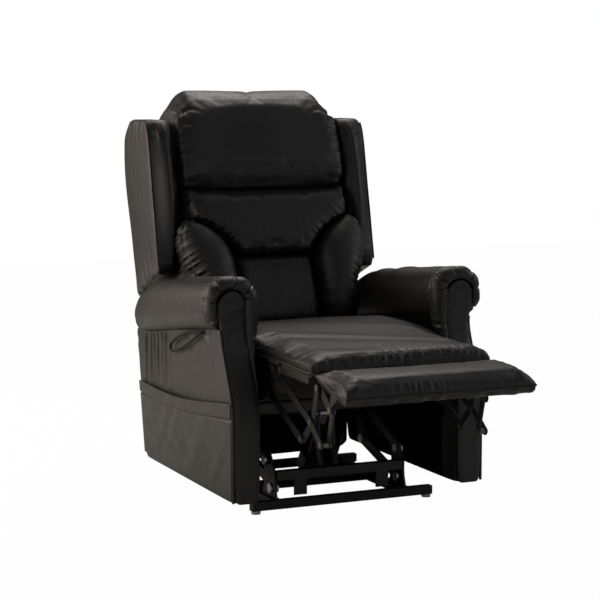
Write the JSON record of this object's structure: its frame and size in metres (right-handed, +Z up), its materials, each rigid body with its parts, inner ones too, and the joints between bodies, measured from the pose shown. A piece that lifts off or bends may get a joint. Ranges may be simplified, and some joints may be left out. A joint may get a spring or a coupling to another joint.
{
  "type": "lift chair",
  "caption": "Upholstered electric lift chair with rolled arms, winged back, padded seat, folding footrest on a steel linkage and a lifting base.",
  "frame": {"origin": "middle of the bounding box on the floor, in the pose of the picture", "axes": "+Z up, the sitter faces -Y, +X is the sitter's left"},
  "size_m": [0.828, 1.4262, 1.134],
  "materials": {
    "leather": "soft sheen",
    "black_steel": "satin powder coat",
    "zinc": "bright zinc",
    "glide": "matte",
    "black_plastic": "matte",
    "timber": "raw",
    "cord": "braided"
  },
  "bodies": {
    "base": {"base_front_rail": "black_steel", "base_rear_rail": "black_steel", "base_side_rails": "black_steel", "base_cross_rail": "black_steel", "floor_glides": "glide", "riser_plates": "black_steel", "riser_cross_tube": "black_steel", "base_pivot_bolts": "zinc"},
    "lift_arms": {"lower_lift_arms": "black_steel", "lift_torque_tube": "black_steel", "lever_pin": "zinc"},
    "upper_arms": {"upper_lift_arms": "black_steel", "lift_arm_studs": "zinc"},
    "actuator": {"actuator_housing": "black_plastic", "actuator_motor": "black_plastic"},
    "push_rod": {"actuator_rod": "zinc"},
    "chassis": {"carrier_plates": "black_steel", "carrier_bolts": "zinc", "seat_front_rail": "leather", "seat_rear_rail": "timber", "seat_side_rails": "timber", "seat_deck": "timber", "seat_cushion": "leather", "seat_front_board": "timber", "seat_pad": "leather", "footrest_mount_plates": "black_steel", "mount_plate_rivets": "zinc", "recline_brackets": "black_steel", "recline_bolts": "zinc", "arm_left_side": "leather", "arm_right_side": "leather", "arm_left_roll": "leather", "arm_right_roll": "leather", "arm_left_front_panel": "leather", "arm_right_front_panel": "leather", "side_pocket": "leather", "pull_loop": "cord"},
    "backrest": {"back_hinge_straps": "black_steel", "back_frame": "timber", "outside_back": "leather", "head_pillow": "leather", "lumbar_cushion": "leather", "lower_back_cushion": "leather", "bolster_left": "leather", "bolster_right": "leather", "wing_left": "leather", "wing_right": "leather"},
    "front_links": {"footrest_front_links": "black_steel", "front_link_rivets": "zinc"},
    "rear_links": {"footrest_rear_links": "black_steel", "rear_link_rivets": "zinc"},
    "cross_links": {"footrest_cross_links": "black_steel"},
    "toe_links": {"footrest_toe_links": "black_steel"},
    "footrest": {"footrest_brackets": "black_steel", "footrest_rivets": "zinc", "footrest_board": "timber", "footrest_pad": "leather"},
    "calf_rest": {"calf_brackets": "black_steel", "calf_board": "timber", "calf_pad": "leather"}
  },
  "joints": [
    {"name": "lift", "type": "hinge", "parent": "base", "child": "lift_arms", "pos_m": [0, -0.09213, 0.058], "axis": [1, 0, 0], "range_deg": [0, 54]},
    {"name": "upper_arm_swing", "type": "hinge", "parent": "base", "child": "upper_arms", "pos_m": [0, -0.06713, 0.133], "axis": [1, 0, 0], "range_deg": [-0.5, 52.03]},
    {"name": "chair_tilt", "type": "hinge", "parent": "lift_arms", "child": "chassis", "pos_m": [0, 0.13387, 0.126], "axis": [1, 0, 0], "range_deg": [-32.9, 0.5]},
    {"name": "actuator_swing", "type": "hinge", "parent": "base", "child": "actuator", "pos_m": [0, 0.10745, 0.04509], "axis": [1, 0, 0], "range_deg": [-0.5, 27.5]},
    {"name": "rod_swing", "type": "hinge", "parent": "lift_arms", "child": "push_rod", "pos_m": [0, -0.01174, 0.24113], "axis": [1, 0, 0], "range_deg": [-27.5, 0.5]},
    {"name": "recline", "type": "hinge", "parent": "chassis", "child": "backrest", "pos_m": [0, 0.29787, 0.36], "axis": [1, 0, 0], "range_deg": [-30, 8]},
    {"name": "footrest_swing", "type": "hinge", "parent": "chassis", "child": "front_links", "pos_m": [0, -0.23213, 0.395], "axis": [1, 0, 0], "range_deg": [-8, 68]},
    {"name": "rear_link_swing", "type": "hinge", "parent": "chassis", "child": "rear_links", "pos_m": [0, -0.17213, 0.34], "axis": [1, 0, 0], "range_deg": [-8.5, 68.5]},
    {"name": "cross_link_swing", "type": "hinge", "parent": "front_links", "child": "cross_links", "pos_m": [0, -0.44013, 0.303], "axis": [1, 0, 0], "range_deg": [-68.5, 8.5]},
    {"name": "toe_link_swing", "type": "hinge", "parent": "front_links", "child": "toe_links", "pos_m": [0, -0.50313, 0.255], "axis": [1, 0, 0], "range_deg": [-68.5, 8.5]},
    {"name": "footrest_tilt", "type": "hinge", "parent": "cross_links", "child": "footrest", "pos_m": [0, -0.46613, 0.396], "axis": [1, 0, 0], "range_deg": [-8.5, 68.5]},
    {"name": "calf_fold", "type": "hinge", "parent": "chassis", "child": "calf_rest", "pos_m": [0, -0.28213, 0.418], "axis": [1, 0, 0], "range_deg": [-9.7, 78.7]}
  ],
  "couplings": [
    {"joint": "upper_arm_swing", "follows": "lift", "ratio": 0.9542},
    {"joint": "chair_tilt", "follows": "lift", "ratio": -0.6},
    {"joint": "actuator_swing", "follows": "lift", "ratio": 0.5},
    {"joint": "rod_swing", "follows": "lift", "ratio": -0.5},
    {"joint": "rear_link_swing", "follows": "footrest_swing", "ratio": 1},
    {"joint": "cross_link_swing", "follows": "footrest_swing", "ratio": -1},
    {"joint": "toe_link_swing", "follows": "footrest_swing", "ratio": -1},
    {"joint": "footrest_tilt", "follows": "footrest_swing", "ratio": 1},
    {"joint": "calf_fold", "follows": "footrest_swing", "ratio": 1.15}
  ]
}
